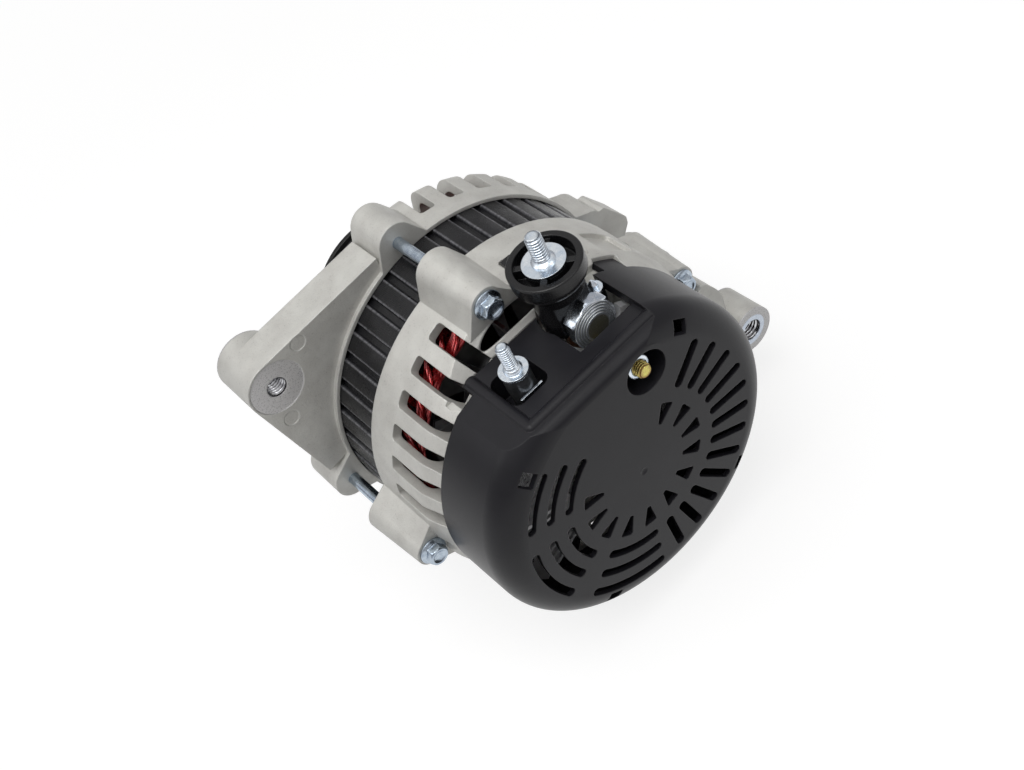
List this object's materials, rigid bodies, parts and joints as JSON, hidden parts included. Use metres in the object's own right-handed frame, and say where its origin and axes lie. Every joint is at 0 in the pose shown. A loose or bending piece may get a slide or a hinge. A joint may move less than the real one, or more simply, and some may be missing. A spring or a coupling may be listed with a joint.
{
  "type": "alternator",
  "caption": "Claw-pole alternator with vented cast brackets, a bare stator core, a slotted rear cover, stud terminals and a ribbed belt pulley.",
  "frame": {"origin": "on the shaft axis, in the middle plane of the belt on the pulley", "axes": "+Y along the shaft from the pulley to the rear cover, +Z along the output stud, +X towards the adjuster ear"},
  "size_m": [0.1916, 0.1765, 0.18],
  "materials": {
    "cast_aluminium": "fine-grained as-cast surface",
    "lacquered_core": "laminated steel under thin black lacquer",
    "enamelled_wire": "deep red wire enamel over copper",
    "tinned_copper": "bare tinned copper",
    "bright_zinc": "bright bluish zinc plate",
    "yellow_zinc": "yellow passivated zinc plate",
    "turned_steel": "turned and ground steel",
    "pole_steel": "forged steel, machined outside",
    "bearing_steel": "polished bearing steel",
    "cage_steel": "pressed cage",
    "seal_rubber": "matt nitrile rubber",
    "black_cover": "satin glass-filled moulding",
    "black_insulator": "smooth moulding with a slight gloss",
    "black_pulley": "black coated steel",
    "heat_sink": "plain sheet and die-cast fins",
    "carbon": "copper-graphite brush",
    "bobbin_plastic": "brown phenolic",
    "fan_steel": "stamped sheet"
  },
  "bodies": {
    "housing": {"front_bracket": "cast_aluminium", "rear_bracket": "cast_aluminium", "stator_core": "lacquered_core", "stator_winding": "enamelled_wire", "stator_leads": "tinned_copper", "bearing_retainer": "turned_steel", "retainer_screws": "bright_zinc", "through_bolts": "bright_zinc", "pivot_bush": "turned_steel", "rear_cover": "black_cover", "cover_stud": "yellow_zinc", "cover_washer": "bright_zinc", "cover_nut": "bright_zinc", "output_stud": "bright_zinc", "output_washer": "bright_zinc", "output_insulator": "black_insulator", "terminal_bar": "tinned_copper", "terminal_bolt": "bright_zinc", "post_pin": "bright_zinc", "signal_stud": "bright_zinc", "signal_sleeve": "turned_steel", "signal_washer": "bright_zinc", "blade_terminal": "bright_zinc", "terminal_washers": "yellow_zinc", "negative_heat_sink": "heat_sink", "positive_heat_sink": "heat_sink", "negative_diodes": "turned_steel", "positive_diodes": "turned_steel", "terminal_block": "black_insulator", "rectifier_screws": "bright_zinc", "regulator": "black_insulator", "brush_holder": "black_insulator", "inner_brush_spring": "turned_steel", "outer_brush_spring": "turned_steel", "front_bearing_outer": "bearing_steel", "front_bearing_seals": "seal_rubber", "rear_bearing_outer": "bearing_steel", "rear_bearing_seals": "seal_rubber"},
    "rotor": {"rotor_shaft": "turned_steel", "front_pole": "pole_steel", "rear_pole": "pole_steel", "coil_bobbin": "bobbin_plastic", "field_coil": "enamelled_wire", "front_fan": "fan_steel", "rear_fan": "fan_steel", "slip_ring_hub": "black_insulator", "slip_rings": "tinned_copper", "shaft_spacer": "turned_steel", "pulley": "black_pulley", "pulley_washer": "bright_zinc", "pulley_nut": "bright_zinc", "front_bearing_inner": "bearing_steel", "rear_bearing_inner": "bearing_steel"},
    "front_ball_set": {"front_bearing_balls": "bearing_steel", "front_bearing_cage": "cage_steel"},
    "rear_ball_set": {"rear_bearing_balls": "bearing_steel", "rear_bearing_cage": "cage_steel"},
    "inner_brush_carrier": {"inner_brush": "carbon"},
    "outer_brush_carrier": {"outer_brush": "carbon"}
  },
  "joints": [
    {"name": "rotor_spin", "type": "hinge", "parent": "housing", "child": "rotor", "pos_m": [0, 0, 0], "axis": [0, 1, 0], "continuous": true},
    {"name": "front_ball_spin", "type": "hinge", "parent": "housing", "child": "front_ball_set", "pos_m": [0, 0.026, 0], "axis": [0, 1, 0], "continuous": true},
    {"name": "rear_ball_spin", "type": "hinge", "parent": "housing", "child": "rear_ball_set", "pos_m": [0, 0.1125, 0], "axis": [0, 1, 0], "continuous": true},
    {"name": "inner_brush_slide", "type": "slide", "parent": "housing", "child": "inner_brush_carrier", "axis": [0, 0, -1], "range_m": [0, 0.005], "stiffness_N_per_m": 200, "springref_m": -0.015, "deforming": ["inner_brush_spring"]},
    {"name": "outer_brush_slide", "type": "slide", "parent": "housing", "child": "outer_brush_carrier", "axis": [0, 0, -1], "range_m": [0, 0.005], "stiffness_N_per_m": 200, "springref_m": -0.015, "deforming": ["outer_brush_spring"]}
  ],
  "couplings": [
    {"joint": "front_ball_spin", "follows": "rotor_spin", "ratio": 0.36356},
    {"joint": "rear_ball_spin", "follows": "rotor_spin", "ratio": 0.38096}
  ]
}
